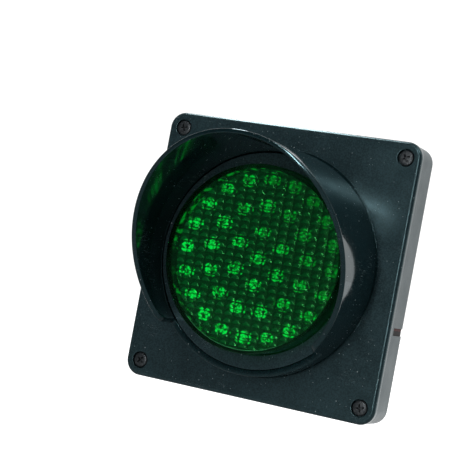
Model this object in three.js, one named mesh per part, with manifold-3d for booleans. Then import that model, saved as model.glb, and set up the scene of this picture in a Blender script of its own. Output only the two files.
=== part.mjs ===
// Single-aspect LED traffic signal head: a square weatherproof housing with a lift-off front cover,
// a flat green lens over forty LEDs and a cut-away hood that locks onto the cover with a short twist.
// Millimetres. The finished group has +Z up, +X to the right as seen by the driver and -Y to the driver;
// its origin is the centre of the rear mounting face. Every piece is drawn in the head frame,
// x right, y up and z outwards from the mounting face, and one turned group stands it up.
import * as THREE from 'three';
import { mergeVertices } from 'three/addons/utils/BufferGeometryUtils.js';
import Module from 'manifold-3d';

const wasm = await Module();
wasm.setup();

// ---- driving dimensions -------------------------------------------------------------------------
const GAP = 0.3; // clearance left between pieces that touch
const CUT = 1; // how far a cutter runs past the face it cuts

// square box
const FACE_SIZE = 172; // side of the front cover
const FACE_CORNER = 10; // corner radius of the cover's outline
const FACE_EDGE = 2; // rounding of the cover's front edge
const HEAD_DEPTH = 25; // rear mounting face to the front face of the cover
const COVER_EDGE = 4.5; // thickness of the cover at its rim
const COVER_SKIN = 2.8; // thickness of the cover between rim and boss
const RIM_WIDTH = 5; // width of the cover's thick rim
const HOUSING_WALL = 4.6;
const HOUSING_BACK = 3;
const HOUSING_EDGE = 1.2; // rounding of the housing's rear edge

// perimeter seal, in a groove in the housing's rim
const SEAL_WIDTH = 2;
const SEAL_HEIGHT = 1.3;

// cover screws, pan head, in counterbores at the corners
const SCREW_SHANK = 2.4; // radius
const SCREW_HEAD = 4.75; // radius
const SCREW_HEAD_HIGH = 3;
const SCREW_LENGTH = 15;
const SCREW_SINK = 0.4; // head top below the cover's face
const SCREW_PLAY = 0.55; // counterbore round the head
const SEAT_WALL = 2.5; // wall round the counterbore
const PAD_WALL = 2.1; // wall round the screw in the pad behind the cover's corner
const POST_WALL = 2.5; // wall round the screw in the housing's corner post
const SCREW_WEB = 3; // thickness of the web between post and wall
const PAD_DEPTH = 2.7; // pad height behind the cover's rim
const RECESS_SPAN = 5; // cross recess, tip to tip
const RECESS_SLOT = 1.1;
const RECESS_DEEP = 1.7;

// lens
const LENS_RADIUS = 57.7;
const LENS_STAND = 26; // front of the lens above the cover's face
const LENS_WALL = 2.2;
const LENS_FRONT = 2.6;
const LENS_EDGE = 0.6; // chamfer of the front edge
const LENS_FLANGE = 4.3; // width of the flange outside the skirt
const FLANGE_THICK = 1.8;
const LENS_SEAL = 1.4; // thickness of the flat seal on the flange
const LENS_PLAY = 1.9; // flange to the inside of the boss

// raised boss of the cover, which carries lens and hood
const BOSS_STAND = 13; // land of the boss above the cover's face
const BOSS_WALL = 2.9;
const LAND_THICK = 2.8;

// snap ring that holds the lens in the boss
const RING_INSET = 2.2; // bore inside the lens's outer wall
const RING_THICK = 2.4;
const RING_BEAD = 0.5; // how far its bead stands out

// hood
const HOOD_COLLAR = 4.1; // wall of the collar round the boss
const HOOD_DRAFT = 1.2; // how much less the outer radius is at the rim
const HOOD_WALL = 2.5; // wall of the free part
const HOOD_STAND = 49.8; // rim above the cover's face at mid height
const HOOD_RISE = 27.6; // extra reach at the top, and shortfall at the bottom
const HOOD_END = 43; // degrees below level at which the side edges run back
const HOOD_CORNER = 7; // rounding of the lower corners
const LUG_ANGLES = [90, 195, 345]; // keyed, so the hood fits one way round
const LUG_SPAN = 10; // degrees
const LUG_DEEP = 1.3;
const LUG_THICK = 2.6;
const LUG_FOOT = 2; // lug above the cover's face
const TWIST = 14; // degrees from locked to free

// light engine
const BOARD_PLAY = 1.5; // LED board to the inside of the lens
const BOARD_THICK = 1.6;
const LED_RADIUS = 2.5;
const LED_HIGH = 8.6;
const LED_TIP = 13.2; // LED tips above the cover's face
const LED_STRIP = 1; // thickness of the strip that joins a ring of LEDs
const LED_EDGE = 5.1; // outermost LEDs from the board's edge
const LED_RINGS = [['inner', 6], ['middle', 13], ['outer', 20]];
const PILLAR_RADIUS = 3.6;
const SMALL_SHANK = 1.4; // board screws, radius
const SMALL_HEAD = 2.75;
const SMALL_HEAD_HIGH = 1.9;
const SMALL_LENGTH = 8;
const SMALL_RECESS = 2.8; // cross recess, tip to tip
const SMALL_SLOT = 0.7;
const SOCKET_INSET = 5.6; // two-pin socket behind the LED board, from the board's edge
const SOCKET_ANGLE = -30;
const SOCKET_WIDE = 8;
const SOCKET_TALL = 5;
const SOCKET_HIGH = 6;
const DRIVER_SCREW = 6; // length of the driver board's screws

// driver board along the bottom of the housing
const DRIVER_WIDE = 96;
const DRIVER_HIGH = 22;
const DRIVER_EDGE = 2.6; // board to the housing's lower wall
const DRIVER_STAND = 3; // posts above the housing's back
const DRIVER_HOLE_X = 44; // screw holes, either side of the middle
const TERMINAL_X = -28;
const TERMINAL_POLES = 3;
const TERMINAL_PITCH = 5.08;
const TERMINAL_DEEP = 8;
const TERMINAL_HIGH = 10;
const TERMINAL_SCREW = 1.9; // radius
const TERMINAL_MOUTH = 3; // side of the opening that a wire enters
const FUSE_X = -12;
const FUSE_RADIUS = 4.2;
const FUSE_HIGH = 7.7;
const FILM_SIZE = [13, 6, 11]; // film capacitor
const CAN_RADIUS = 4; // smoothing capacitor, laid flat
const CAN_LONG = 12;
const CAN_X = 9; // its left end
const BRIDGE_SIZE = [9, 6.4, 3.4]; // rectifier body
const BRIDGE_PIN = 1.2;
const RESISTOR_X = 30;
const RESISTOR_RADIUS = 1.9;
const RESISTOR_LONG = 11;
const WIRE_RADIUS = 0.4; // resistor wires
const PAD_X = 36; // middle of the two output pads
const LEAD_RADIUS = 0.8;
const LEAD_SIDE = 2; // each lead's distance from their common middle

// rear openings
const GROMMET_X = -58;
const GROMMET_Y = -42;
const GROMMET_RADIUS = 8; // hole in the housing's back
const GROMMET_FLANGE = 2.2;
const GROMMET_MOUTH = 4; // radius that the cable enters
const GROMMET_LIP = 1.5; // thickness of the flange inside the housing
const GROMMET_NOSE = 5; // how far its nose stands inside the housing
const FIX_PITCH = 120; // fixing holes, both ways
const FIX_RADIUS = 2.7;

// side cable entry, a slot in the right-hand wall, open to the rear and closed by a rubber plug
const ENTRY_Y = -27.7; // middle of the slot
const ENTRY_HIGH = 4.6;
const ENTRY_LONG = 17;
const ENTRY_STRIP = 1.4; // thickness of the red seal on the plug
const ENTRY_SINK = 0.6; // plug below the wall's outer face

// ---- values worked out from them ----------------------------------------------------------------
const COVER_BACK = HEAD_DEPTH - COVER_EDGE;
const HOUSING_FRONT = COVER_BACK - GAP;
const HOUSING_HALF = FACE_SIZE / 2 - GAP;
const CAVITY_HALF = HOUSING_HALF - HOUSING_WALL;
const SCREW_SEAT = SCREW_HEAD + SCREW_PLAY;
const SCREW_HOLE = SCREW_SHANK + GAP;
const SCREW_PAD = SCREW_HOLE + PAD_WALL;
const SCREW_XY = CAVITY_HALF - GAP - SCREW_PAD; // the pads stand just inside the housing's walls
const SCREW_POST = SCREW_HOLE + POST_WALL;
const PAD_BACK = COVER_BACK - PAD_DEPTH;
const SCREW_TOP = HEAD_DEPTH - SCREW_SINK;
const SCREW_UNDER = SCREW_TOP - SCREW_HEAD_HIGH;
const LENS_TOP = HEAD_DEPTH + LENS_STAND;
const LAND_TOP = HEAD_DEPTH + BOSS_STAND;
const LAND_UNDER = LAND_TOP - LAND_THICK;
const SEAL_TOP = LAND_UNDER - GAP;
const FLANGE_TOP = SEAL_TOP - LENS_SEAL - GAP;
const FLANGE_UNDER = FLANGE_TOP - FLANGE_THICK;
const RING_TOP = FLANGE_UNDER - GAP;
const LENS_OUTER = LENS_RADIUS + LENS_FLANGE;
const BOSS_INNER = LENS_OUTER + LENS_PLAY;
const BOSS_RADIUS = BOSS_INNER + BOSS_WALL;
const RING_INNER = LENS_RADIUS - RING_INSET;
const HOOD_INNER = BOSS_RADIUS + GAP;
const HOOD_BASE = HOOD_INNER + HOOD_COLLAR;
const HOOD_RIM = HOOD_BASE - HOOD_DRAFT;
const HOOD_FOOT = HEAD_DEPTH + GAP;
const LUG_LOW = HEAD_DEPTH + LUG_FOOT;
const BOARD_RADIUS = LENS_RADIUS - LENS_WALL - BOARD_PLAY;
const LED_PITCH = (BOARD_RADIUS - LED_EDGE) / LED_RINGS.length;
const PILLAR_CIRCLE = 2.5 * LED_PITCH; // between the second and third ring of LEDs
const BOARD_FRONT = HEAD_DEPTH + LED_TIP - LED_HIGH - LED_STRIP - GAP;
const BOARD_BACK = BOARD_FRONT - BOARD_THICK;
const DRIVER_Y = DRIVER_HIGH / 2 + DRIVER_EDGE - CAVITY_HALF;
const DRIVER_BACK = HOUSING_BACK + DRIVER_STAND + GAP;
const DRIVER_FRONT = DRIVER_BACK + BOARD_THICK;
const PART_BASE = DRIVER_FRONT + GAP; // components stand here on the driver board

// ---- finishes -----------------------------------------------------------------------------------
const finish = (color, roughness, metalness = 0) =>
  new THREE.MeshStandardMaterial({ color, roughness, metalness });
const blackPlastic = finish(0x1b2629, 0.42);
const greenPlastic = finish(0x00a03c, 0.15);
const rubber = finish(0x15181a, 0.8);
const redRubber = finish(0x7a3030, 0.6);
const blackSteel = finish(0x14181a, 0.35, 0.8);
const brightSteel = finish(0xb8babc, 0.3, 1);
const laminate = finish(0x0f3a24, 0.5);
const ledResin = finish(0x18d060, 0.1);
const greyPlastic = finish(0x6d7276, 0.5);

// ---- solids -------------------------------------------------------------------------------------
// A closed three.js geometry as a solid: only positions are kept, and triangles of no area dropped.
function solid(geometry) {
  const bare = geometry.clone();
  bare.deleteAttribute('normal');
  bare.deleteAttribute('uv');
  const merged = mergeVertices(bare);
  const triangles = [];
  const index = merged.index.array;
  for (let i = 0; i < index.length; i += 3) {
    const [a, b, c] = [index[i], index[i + 1], index[i + 2]];
    if (a !== b && b !== c && c !== a) triangles.push(a, b, c);
  }
  const vertProperties = Float32Array.from(merged.attributes.position.array);
  const triVerts = Uint32Array.from(triangles);
  return new wasm.Manifold(new wasm.Mesh({ numProp: 3, vertProperties, triVerts }));
}

function surface(shape) {
  const mesh = shape.getMesh();
  const geometry = new THREE.BufferGeometry();
  geometry.setAttribute('position', new THREE.Float32BufferAttribute(mesh.vertProperties, 3));
  geometry.setIndex(Array.from(mesh.triVerts));
  return geometry;
}

// A solid turned about the z axis from [radius, z] points, listed anticlockwise.
function turned(points, segments = 48) {
  const profile = points.map(([r, z]) => new THREE.Vector2(r, z));
  if (points[0][0] > 0) profile.push(profile[0].clone());
  return solid(new THREE.LatheGeometry(profile, segments).rotateX(Math.PI / 2));
}

function rod(x, y, radius, low, high, segments = 20) {
  const bar = new THREE.CylinderGeometry(radius, radius, high - low, segments);
  return solid(bar.rotateX(Math.PI / 2).translate(x, y, (low + high) / 2));
}

function tube(inner, outer, low, high, segments = 48) {
  return turned([[inner, low], [outer, low], [outer, high], [inner, high]], segments);
}

function block(x, y, wide, tall, low, high) {
  return solid(new THREE.BoxGeometry(wide, tall, high - low).translate(x, y, (low + high) / 2));
}

function squareOutline(half, radius) {
  const shape = new THREE.Shape();
  const flat = half - radius;
  shape.absarc(flat, flat, radius, 0, Math.PI / 2);
  shape.absarc(-flat, flat, radius, Math.PI / 2, Math.PI);
  shape.absarc(-flat, -flat, radius, Math.PI, 1.5 * Math.PI);
  shape.absarc(flat, -flat, radius, 1.5 * Math.PI, 2 * Math.PI);
  return shape;
}

function slab(half, radius, low, high) {
  const options = { depth: high - low, bevelEnabled: false, curveSegments: 6 };
  return solid(new THREE.ExtrudeGeometry(squareOutline(half, radius), options).translate(0, 0, low));
}

// A slab whose front edge is rounded.
function roundedSlab(half, radius, low, high, edge) {
  const options = {
    depth: high - low - edge, bevelThickness: edge, bevelSize: edge, bevelOffset: -edge,
    bevelSegments: 3, curveSegments: 6,
  };
  const both = new THREE.ExtrudeGeometry(squareOutline(half, radius), options).translate(0, 0, low);
  return solid(both).subtract(block(0, 0, 3 * half, 3 * half, low - 2 * edge, low));
}

// A sector of a tube, centred on an angle in degrees.
function sector(inner, outer, low, high, middle, span) {
  const shape = new THREE.Shape();
  const from = THREE.MathUtils.degToRad(middle - span / 2);
  const to = THREE.MathUtils.degToRad(middle + span / 2);
  shape.absarc(0, 0, outer, from, to, false);
  shape.absarc(0, 0, inner, to, from, true);
  shape.closePath();
  const options = { depth: high - low, bevelEnabled: false, curveSegments: 6 };
  return solid(new THREE.ExtrudeGeometry(shape, options).translate(0, 0, low));
}

const corners = [['top_left', -1, 1], ['top_right', 1, 1], ['bottom_left', -1, -1], ['bottom_right', 1, -1]];
const polar = (radius, degrees) => {
  const angle = THREE.MathUtils.degToRad(degrees);
  return [radius * Math.cos(angle), radius * Math.sin(angle)];
};
const [SOCKET_X, SOCKET_Y] = polar(BOARD_RADIUS - SOCKET_INSET, SOCKET_ANGLE);
const pillars = [45, 135, 225, 315].map((angle) => polar(PILLAR_CIRCLE, angle));
const joined = (solids) => solids.reduce((all, one) => all.add(one));

// ---- housing ------------------------------------------------------------------------------------
// A square band along the middle of the housing's rim: the seal, or with spare the groove for it.
function rimBand(spare, low, high) {
  const middle = HOUSING_HALF - HOUSING_WALL / 2;
  const outer = middle + SEAL_WIDTH / 2 + spare;
  const inner = middle - SEAL_WIDTH / 2 - spare;
  const radius = (half) => FACE_CORNER - (FACE_SIZE / 2 - half);
  const filled = slab(outer, radius(outer), low, high);
  return filled.subtract(slab(inner, radius(inner), low - CUT, high + CUT));
}

function entrySlot() {
  const x = HOUSING_HALF - HOUSING_WALL / 2;
  return block(x, ENTRY_Y, HOUSING_WALL + 2 * CUT, ENTRY_HIGH, -CUT, ENTRY_LONG);
}

function screwPost(sx, sy) {
  const top = PAD_BACK - GAP;
  const toWall = CAVITY_HALF - SCREW_XY + CUT;
  const at = sx * (SCREW_XY + toWall / 2);
  const post = rod(sx * SCREW_XY, sy * SCREW_XY, SCREW_POST, HOUSING_BACK - CUT, top);
  return post.add(block(at, sy * SCREW_XY, toWall, SCREW_WEB, HOUSING_BACK - CUT, top));
}

function rearHousing() {
  const radius = FACE_CORNER - GAP;
  const shell = roundedSlab(HOUSING_HALF, radius, 0, HOUSING_FRONT, HOUSING_EDGE);
  const flipped = shell.mirror([0, 0, 1]).translate([0, 0, HOUSING_FRONT]);
  const cavity = slab(CAVITY_HALF, radius - HOUSING_WALL, HOUSING_BACK, HOUSING_FRONT + CUT);
  const groove = rimBand(GAP, HOUSING_FRONT - SEAL_HEIGHT - GAP, HOUSING_FRONT + CUT);
  let body = flipped.subtract(cavity).subtract(groove);
  for (const [, sx, sy] of corners) {
    const pilotFloor = SCREW_UNDER - SCREW_LENGTH - GAP;
    const pilot = rod(sx * SCREW_XY, sy * SCREW_XY, SCREW_HOLE, pilotFloor, PAD_BACK + CUT);
    body = body.add(screwPost(sx, sy)).subtract(pilot);
  }
  const smallPilot = SMALL_SHANK + GAP;
  for (const [x, y] of pillars) {
    const pillarTop = BOARD_BACK - GAP;
    body = body.add(rod(x, y, PILLAR_RADIUS, HOUSING_BACK - CUT, pillarTop, 16));
    body = body.subtract(rod(x, y, smallPilot, BOARD_FRONT - SMALL_LENGTH, pillarTop + CUT, 12));
  }
  for (const side of [-1, 1]) {
    const x = side * DRIVER_HOLE_X;
    const postFront = HOUSING_BACK + DRIVER_STAND;
    body = body.add(rod(x, DRIVER_Y, PILLAR_RADIUS, HOUSING_BACK - CUT, postFront, 16));
    body = body.subtract(rod(x, DRIVER_Y, smallPilot, DRIVER_FRONT - DRIVER_SCREW, postFront + CUT, 12));
  }
  for (const [, sx, sy] of corners) {
    const at = FIX_PITCH / 2;
    body = body.subtract(rod(sx * at, sy * at, FIX_RADIUS, -CUT, HOUSING_BACK + CUT, 16));
  }
  body = body.subtract(rod(GROMMET_X, GROMMET_Y, GROMMET_RADIUS, -CUT, HOUSING_BACK + CUT, 32));
  return body.subtract(entrySlot());
}

function housingSeal() {
  return rimBand(0, HOUSING_FRONT - SEAL_HEIGHT, HOUSING_FRONT);
}

function cableGrommet() {
  const neck = GROMMET_RADIUS - GAP;
  const flange = GROMMET_RADIUS + GROMMET_FLANGE;
  const lip = HOUSING_BACK + GAP;
  const mouth = GROMMET_MOUTH;
  return turned([
    [mouth, GAP], [neck, GAP], [neck, lip], [flange, lip], [flange, lip + GROMMET_LIP],
    [neck, lip + 1.5 * GROMMET_LIP], [mouth, lip + GROMMET_NOSE], [mouth - GAP, lip + GROMMET_NOSE],
  ], 24).translate([GROMMET_X, GROMMET_Y, 0]);
}

function entryPlug() {
  const outer = HOUSING_HALF - ENTRY_SINK;
  const inner = CAVITY_HALF;
  const high = ENTRY_HIGH - 3 * GAP - ENTRY_STRIP;
  const y = ENTRY_Y - ENTRY_HIGH / 2 + GAP + high / 2;
  return block((outer + inner) / 2, y, outer - inner, high, HOUSING_EDGE, ENTRY_LONG - GAP);
}

function entrySeal() {
  const outer = HOUSING_HALF - GAP;
  const inner = CAVITY_HALF;
  const y = ENTRY_Y + ENTRY_HIGH / 2 - GAP - ENTRY_STRIP / 2;
  return block((outer + inner) / 2, y, outer - inner, ENTRY_STRIP, HOUSING_EDGE, ENTRY_LONG - 2 * GAP);
}

// ---- cover and its screws -----------------------------------------------------------------------
function bossLug(middle) {
  const outer = BOSS_RADIUS + LUG_DEEP;
  return sector(BOSS_RADIUS - CUT, outer, LUG_LOW, LUG_LOW + LUG_THICK, middle, LUG_SPAN);
}

function frontCover() {
  const half = FACE_SIZE / 2;
  const plate = roundedSlab(half, FACE_CORNER, COVER_BACK, HEAD_DEPTH, FACE_EDGE);
  const pocketTop = HEAD_DEPTH - COVER_SKIN;
  const pocket = slab(half - RIM_WIDTH, FACE_CORNER - RIM_WIDTH, COVER_BACK - CUT, pocketTop);
  let body = plate.subtract(pocket).add(rod(0, 0, BOSS_RADIUS, COVER_BACK, LAND_TOP, 48));
  for (const [, sx, sy] of corners) {
    const [x, y] = [sx * SCREW_XY, sy * SCREW_XY];
    body = body.add(rod(x, y, SCREW_PAD, PAD_BACK, HEAD_DEPTH - FACE_EDGE));
    body = body.add(rod(x, y, SCREW_SEAT + SEAT_WALL, COVER_BACK, HEAD_DEPTH - FACE_EDGE));
    body = body.subtract(rod(x, y, SCREW_HOLE, PAD_BACK - CUT, HEAD_DEPTH));
    body = body.subtract(rod(x, y, SCREW_SEAT, SCREW_UNDER - GAP, HEAD_DEPTH + CUT, 24));
  }
  body = body.subtract(rod(0, 0, BOSS_INNER, COVER_BACK - CUT, LAND_UNDER, 48));
  body = body.subtract(rod(0, 0, LENS_RADIUS + GAP, LAND_UNDER - CUT, LAND_TOP + CUT, 48));
  const beadTop = RING_TOP + GAP;
  const bead = BOSS_INNER + RING_BEAD;
  body = body.subtract(tube(BOSS_INNER - CUT, bead, RING_TOP - RING_THICK - GAP, beadTop));
  for (const middle of LUG_ANGLES) body = body.add(bossLug(middle));
  return body;
}

function panScrew(shank, head, headHigh, length, segments) {
  const crown = headHigh * 0.45;
  return turned([
    [0, -length], [shank * 0.6, -length], [shank, shank - length], [shank, 0], [head, 0],
    [head, headHigh - crown], [head * 0.85, headHigh - crown * 0.35], [head * 0.5, headHigh], [0, headHigh],
  ], segments);
}

function crossRecess(top, span, slot, deep) {
  const across = block(0, 0, span, slot, top - deep, top + CUT);
  return across.add(block(0, 0, slot, span, top - deep, top + CUT));
}

function coverScrew() {
  const screw = panScrew(SCREW_SHANK, SCREW_HEAD, SCREW_HEAD_HIGH, SCREW_LENGTH, 16);
  return screw.subtract(crossRecess(SCREW_HEAD_HIGH, RECESS_SPAN, RECESS_SLOT, RECESS_DEEP));
}

// ---- hood ---------------------------------------------------------------------------------------
// L-shaped groove in the hood's collar: a lug enters from behind and runs along it as the hood turns.
function lugTrack(middle) {
  const clear = THREE.MathUtils.radToDeg(GAP / BOSS_RADIUS);
  const inner = BOSS_RADIUS - CUT;
  const outer = BOSS_RADIUS + LUG_DEEP + GAP;
  const low = LUG_LOW - GAP;
  const high = LUG_LOW + LUG_THICK + GAP;
  const span = LUG_SPAN + 2 * clear;
  const track = sector(inner, outer, low, high, middle - TWIST / 2, span + TWIST);
  return track.add(sector(inner, outer, HEAD_DEPTH - CUT, high, middle - TWIST, span));
}

// Outline of what the lower corners lose, seen from below: the side edges run straight back to the
// collar and meet the sloping rim in a rounded corner.
function hoodMouth() {
  const side = HOOD_RIM * Math.cos(THREE.MathUtils.degToRad(HOOD_END));
  const drop = HOOD_RIM * Math.sin(THREE.MathUtils.degToRad(HOOD_END));
  const corner = HEAD_DEPTH + HOOD_STAND - (HOOD_RISE * drop) / HOOD_RIM;
  const slope = Math.atan((HOOD_RISE * side) / (HOOD_RIM * drop));
  const back = HOOD_CORNER * Math.tan((Math.PI / 2 - slope) / 2);
  const turn = Math.PI / 2 + slope;
  const far = HEAD_DEPTH + HOOD_STAND + HOOD_RISE + CUT;
  const reach = side + back * Math.cos(slope);
  const shape = new THREE.Shape();
  shape.moveTo(-side, LAND_TOP);
  shape.lineTo(side, LAND_TOP);
  shape.absarc(side + HOOD_CORNER, corner - back, HOOD_CORNER, Math.PI, turn, true);
  shape.lineTo(reach, far);
  shape.lineTo(-reach, far);
  shape.absarc(-side - HOOD_CORNER, corner - back, HOOD_CORNER, Math.PI - turn, 0, true);
  shape.closePath();
  const options = { depth: HOOD_BASE, bevelEnabled: false, curveSegments: 6 };
  const cutter = new THREE.ExtrudeGeometry(shape, options);
  return solid(cutter.rotateX(Math.PI / 2).translate(0, -drop / 2, 0));
}

function hood() {
  const reach = HEAD_DEPTH + HOOD_STAND + HOOD_RISE + CUT;
  const shell = turned([
    [HOOD_INNER, HOOD_FOOT], [HOOD_BASE, HOOD_FOOT], [HOOD_RIM, reach],
    [HOOD_RIM - HOOD_WALL, reach], [HOOD_INNER, LAND_TOP],
  ], 60);
  const slope = Math.atan(HOOD_RISE / HOOD_RIM);
  const knife = solid(new THREE.BoxGeometry(4 * HOOD_BASE, 4 * HOOD_BASE, 2 * HOOD_BASE)
    .translate(0, 0, HOOD_BASE).rotateX(slope).translate(0, 0, HEAD_DEPTH + HOOD_STAND));
  let body = shell.subtract(knife).subtract(hoodMouth());
  for (const middle of LUG_ANGLES) body = body.subtract(lugTrack(middle));
  return body;
}

// ---- lens ---------------------------------------------------------------------------------------
function lens() {
  const inner = LENS_RADIUS - LENS_WALL;
  const under = LENS_TOP - LENS_FRONT;
  return turned([
    [inner, FLANGE_UNDER], [LENS_OUTER, FLANGE_UNDER], [LENS_OUTER, FLANGE_TOP], [LENS_RADIUS, FLANGE_TOP],
    [LENS_RADIUS, LENS_TOP - LENS_EDGE], [LENS_RADIUS - LENS_EDGE, LENS_TOP],
    [0, LENS_TOP], [0, under], [inner, under],
  ]);
}

function lensSeal() {
  return tube(LENS_RADIUS + 2 * GAP, LENS_OUTER, FLANGE_TOP + GAP, SEAL_TOP);
}

function snapRing() {
  const outer = BOSS_INNER - GAP;
  const bead = BOSS_INNER + RING_BEAD - GAP;
  const low = RING_TOP - RING_THICK;
  return turned([
    [RING_INNER, low], [outer, low], [bead, low + 0.4], [bead, RING_TOP - 0.4],
    [outer, RING_TOP], [RING_INNER, RING_TOP],
  ]);
}

// ---- light engine -------------------------------------------------------------------------------
function ledBoard() {
  let board = rod(0, 0, BOARD_RADIUS, BOARD_BACK, BOARD_FRONT, 48);
  for (const [x, y] of pillars) {
    board = board.subtract(rod(x, y, SMALL_SHANK + GAP, BOARD_BACK - CUT, BOARD_FRONT + CUT, 12));
  }
  return board;
}

function led(x, y) {
  const low = HEAD_DEPTH + LED_TIP - LED_HIGH;
  const straight = LED_HIGH - LED_RADIUS;
  return turned([
    [0, low], [LED_RADIUS, low], [LED_RADIUS, low + straight],
    [0.72 * LED_RADIUS, low + LED_HIGH - 0.3 * LED_RADIUS], [0, low + LED_HIGH],
  ], 8).translate([x, y, 0]);
}

// A ring of LEDs, joined at the foot by the strip that spaces them.
function ledRing(count, radius) {
  const high = HEAD_DEPTH + LED_TIP - LED_HIGH + LED_STRIP / 2;
  const low = BOARD_FRONT + GAP;
  const strip = tube(radius - LED_RADIUS, radius + LED_RADIUS, low, high, 30);
  const places = Array.from({ length: count }, (_, i) => polar(radius, 90 + (360 * i) / count));
  return joined([strip, ...places.map(([x, y]) => led(x, y))]);
}

function centreLed() {
  const high = HEAD_DEPTH + LED_TIP - LED_HIGH + LED_STRIP / 2;
  return led(0, 0).add(rod(0, 0, LED_RADIUS + 1, BOARD_FRONT + GAP, high, 16));
}

function smallScrew(length) {
  const screw = panScrew(SMALL_SHANK, SMALL_HEAD, SMALL_HEAD_HIGH, length - GAP, 12);
  return screw.subtract(crossRecess(SMALL_HEAD_HIGH, SMALL_RECESS, SMALL_SLOT, SMALL_HEAD_HIGH / 2));
}

// ---- driver -------------------------------------------------------------------------------------
function driverBoard() {
  const board = block(0, DRIVER_Y, DRIVER_WIDE, DRIVER_HIGH, DRIVER_BACK, DRIVER_FRONT);
  const hole = (side) =>
    rod(side * DRIVER_HOLE_X, DRIVER_Y, SMALL_SHANK + GAP, DRIVER_BACK - CUT, DRIVER_FRONT + CUT, 12);
  return board.subtract(hole(-1)).subtract(hole(1));
}

const terminalX = (pole) => TERMINAL_X + (pole - (TERMINAL_POLES - 1) / 2) * TERMINAL_PITCH;

function terminalBlock() {
  const wide = TERMINAL_POLES * TERMINAL_PITCH;
  const top = PART_BASE + TERMINAL_HIGH;
  let body = block(TERMINAL_X, DRIVER_Y, wide, TERMINAL_DEEP, PART_BASE, top);
  const radius = TERMINAL_SCREW + GAP;
  for (let pole = 0; pole < TERMINAL_POLES; pole += 1) {
    const x = terminalX(pole);
    body = body.subtract(rod(x, DRIVER_Y, radius, top - TERMINAL_HIGH / 2, top + CUT, 16));
    const mouth = block(x, DRIVER_Y + TERMINAL_DEEP / 2, TERMINAL_MOUTH, TERMINAL_DEEP / 2,
      PART_BASE + CUT, PART_BASE + CUT + TERMINAL_MOUTH);
    body = body.subtract(mouth);
  }
  return body;
}

function terminalScrew() {
  const head = rod(0, 0, TERMINAL_SCREW, 2 * GAP - TERMINAL_HIGH / 2, 0, 16);
  return head.subtract(block(0, 0, 2 * TERMINAL_SCREW + CUT, SMALL_SLOT, -CUT, CUT));
}

// A resistor held just off the board on its two bent wires.
function resistor(x, y) {
  const tipX = RESISTOR_LONG / 2 + 3 * WIRE_RADIUS;
  const body = new THREE.CylinderGeometry(RESISTOR_RADIUS, RESISTOR_RADIUS, RESISTOR_LONG, 16);
  const wire = new THREE.CylinderGeometry(WIRE_RADIUS, WIRE_RADIUS, 2 * tipX + WIRE_RADIUS, 8);
  const lift = RESISTOR_RADIUS + GAP;
  const feet = [-1, 1].map((side) => rod(side * tipX, 0, WIRE_RADIUS, -lift, WIRE_RADIUS / 2, 8));
  const lying = [body, wire].map((piece) => solid(piece.rotateZ(Math.PI / 2)));
  return joined([...lying, ...feet]).translate([x, y, PART_BASE + lift]);
}

// A can laid flat on the board, crimped near its left end.
function smoothingCapacitor(x, y) {
  const crimp = 0.15 * CAN_RADIUS;
  return turned([
    [0, 0], [CAN_RADIUS, 0], [CAN_RADIUS, 2 * crimp], [CAN_RADIUS - crimp, 3 * crimp],
    [CAN_RADIUS, 4 * crimp], [CAN_RADIUS, CAN_LONG - crimp], [CAN_RADIUS - crimp, CAN_LONG], [0, CAN_LONG],
  ], 24).rotate([0, 90, 0]).translate([x, y, PART_BASE + CAN_RADIUS]);
}

function rectifier(x, y) {
  const [wide, tall, high] = BRIDGE_SIZE;
  const body = block(x, y, wide, tall, PART_BASE + CUT, PART_BASE + CUT + high);
  const pinTop = PART_BASE + CUT + high / 2;
  const pins = [-1, 1].flatMap((sx) => [-1, 1].map((sy) =>
    block(x + (sx * wide) / 4, y + (sy * tall) / 2, BRIDGE_PIN, BRIDGE_PIN, PART_BASE, pinTop)));
  return joined([body, ...pins]);
}

function fuse(x, y) {
  return rod(x, y, FUSE_RADIUS, PART_BASE, PART_BASE + FUSE_HIGH);
}

function filmCapacitor(x, y) {
  const [wide, tall, high] = FILM_SIZE;
  return block(x, y, wide, tall, PART_BASE, PART_BASE + high);
}

function boardSocket() {
  const top = BOARD_BACK - GAP;
  return block(SOCKET_X, SOCKET_Y, SOCKET_WIDE, SOCKET_TALL, top - SOCKET_HIGH, top);
}

function lead(points) {
  const route = new THREE.CatmullRomCurve3(points.map((p) => new THREE.Vector3(...p)), false, 'centripetal');
  const section = new THREE.Shape().absarc(0, 0, LEAD_RADIUS, 0, 2 * Math.PI);
  const options = { steps: 22, extrudePath: route, curveSegments: 4, bevelEnabled: false };
  return solid(new THREE.ExtrudeGeometry(section, options));
}

// From an output pad of the driver, along the back of the housing and up to the LED board's socket.
function driverLead(side) {
  const padX = PAD_X + side * LEAD_SIDE;
  const padY = DRIVER_Y + DRIVER_HIGH / 4;
  const edgeY = DRIVER_Y + DRIVER_HIGH / 2;
  const [x, y] = [SOCKET_X + side * LEAD_SIDE, SOCKET_Y];
  const low = PART_BASE + LEAD_RADIUS;
  const end = BOARD_BACK - SOCKET_HIGH - 2 * GAP;
  const middleY = (edgeY + y) / 2;
  return lead([
    [padX, padY, PART_BASE], [padX, padY + CUT, low + LEAD_SIDE], [padX + side, edgeY + 4, low],
    [(padX + side + x) / 2, middleY, low], [x, y - 6, low + CUT], [x, y, low + 4], [x, y, end],
  ]);
}

// ---- assembly -----------------------------------------------------------------------------------
const head = new THREE.Group();
head.rotation.x = Math.PI / 2;

function place(name, shape, material, position = [0, 0, 0]) {
  const mesh = new THREE.Mesh(surface(shape), material);
  mesh.name = name;
  mesh.position.set(...position);
  head.add(mesh);
}

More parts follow.
